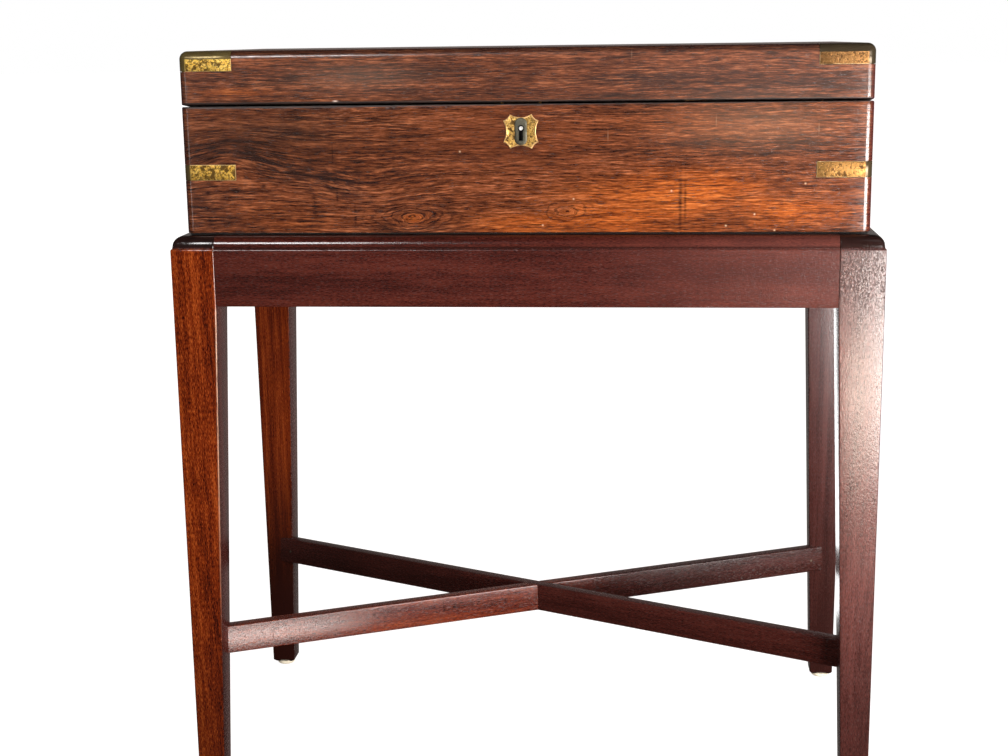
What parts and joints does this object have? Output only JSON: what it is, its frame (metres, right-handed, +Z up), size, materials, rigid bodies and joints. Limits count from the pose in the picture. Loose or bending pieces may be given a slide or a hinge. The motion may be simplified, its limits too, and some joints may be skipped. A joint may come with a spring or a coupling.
{
  "type": "lap desk on stand",
  "caption": "Brass-bound rosewood lap desk, a hinged writing slope in a box, resting loose on a mahogany stand with tapered square legs and crossed stretchers.",
  "frame": {"origin": "on the floor, under the middle of the stand", "axes": "+X to the right of someone facing the lock, +Y to the back where the hinges are, +Z up"},
  "size_m": [0.529, 0.2754, 0.5806],
  "materials": {
    "rosewood": "polished dark figured rosewood, worn at the edges",
    "inner_wood": "waxed red-brown inner wood",
    "mahogany": "glossy dark red-brown mahogany with open pores",
    "brass": "aged brass with dark tarnish spots",
    "steel": "dull worn steel",
    "leather": "dark green writing leather with a gilt line",
    "baize": "matte green baize",
    "glass": "clear moulded glass",
    "nylon": "cream glide"
  },
  "bodies": {
    "stand": {"leg_front_left": "mahogany", "leg_front_right": "mahogany", "leg_rear_left": "mahogany", "leg_rear_right": "mahogany", "rail_front": "mahogany", "rail_rear": "mahogany", "rail_left": "mahogany", "rail_right": "mahogany", "stretcher_front_left": "mahogany", "stretcher_front_right": "mahogany", "glide_front_left": "nylon", "glide_front_right": "nylon", "glide_rear_left": "nylon", "glide_rear_right": "nylon"},
    "lap_desk_base": {"base_front": "rosewood", "base_back": "rosewood", "base_left": "rosewood", "base_right": "rosewood", "base_bottom": "inner_wood", "base_pad": "baize", "base_flap": "inner_wood", "base_leather": "leather", "tray_divider": "inner_wood", "well_divider_left": "inner_wood", "well_divider_right": "inner_wood", "pen_tray": "inner_wood", "inkwell_left": "glass", "inkwell_right": "glass", "inkwell_cap_left": "brass", "inkwell_cap_right": "brass", "base_strap_front_left": "brass", "base_strap_front_right": "brass", "base_strap_rear_left": "brass", "base_strap_rear_right": "brass", "escutcheon": "brass", "keyhole_plate": "steel", "lock_case": "brass", "lock_pin": "steel", "hinge_base_left": "brass", "hinge_base_right": "brass"},
    "lid": {"lid_top": "rosewood", "lid_front": "rosewood", "lid_back": "rosewood", "lid_left": "rosewood", "lid_right": "rosewood", "lid_flap": "inner_wood", "lid_leather": "leather", "hook_plate": "brass", "lid_strap_front_left": "brass", "lid_strap_front_right": "brass", "lid_strap_rear_left": "brass", "lid_strap_rear_right": "brass", "hinge_lid_left": "brass", "hinge_lid_right": "brass", "hinge_pin_left": "brass", "hinge_pin_right": "brass"},
    "lock_bolt": {"lock_bolt": "steel"},
    "flap_catch": {"flap_catch": "brass"}
  },
  "joints": [
    {"name": "box_lift", "type": "slide", "parent": "stand", "child": "lap_desk_base", "axis": [0, 0, 1], "range_m": [0, 0.2]},
    {"name": "lid_hinge", "type": "hinge", "parent": "lap_desk_base", "child": "lid", "pos_m": [0, 0.12775, 0.51335], "axis": [-1, 0, 0], "range_deg": [0, 180]},
    {"name": "lock_bolt_slide", "type": "slide", "parent": "lap_desk_base", "child": "lock_bolt", "axis": [1, 0, 0], "range_m": [0, 0.004]},
    {"name": "flap_catch_slide", "type": "slide", "parent": "lid", "child": "flap_catch", "axis": [0, -0.9942, 0.1078], "range_m": [0, 0.004]}
  ]
}
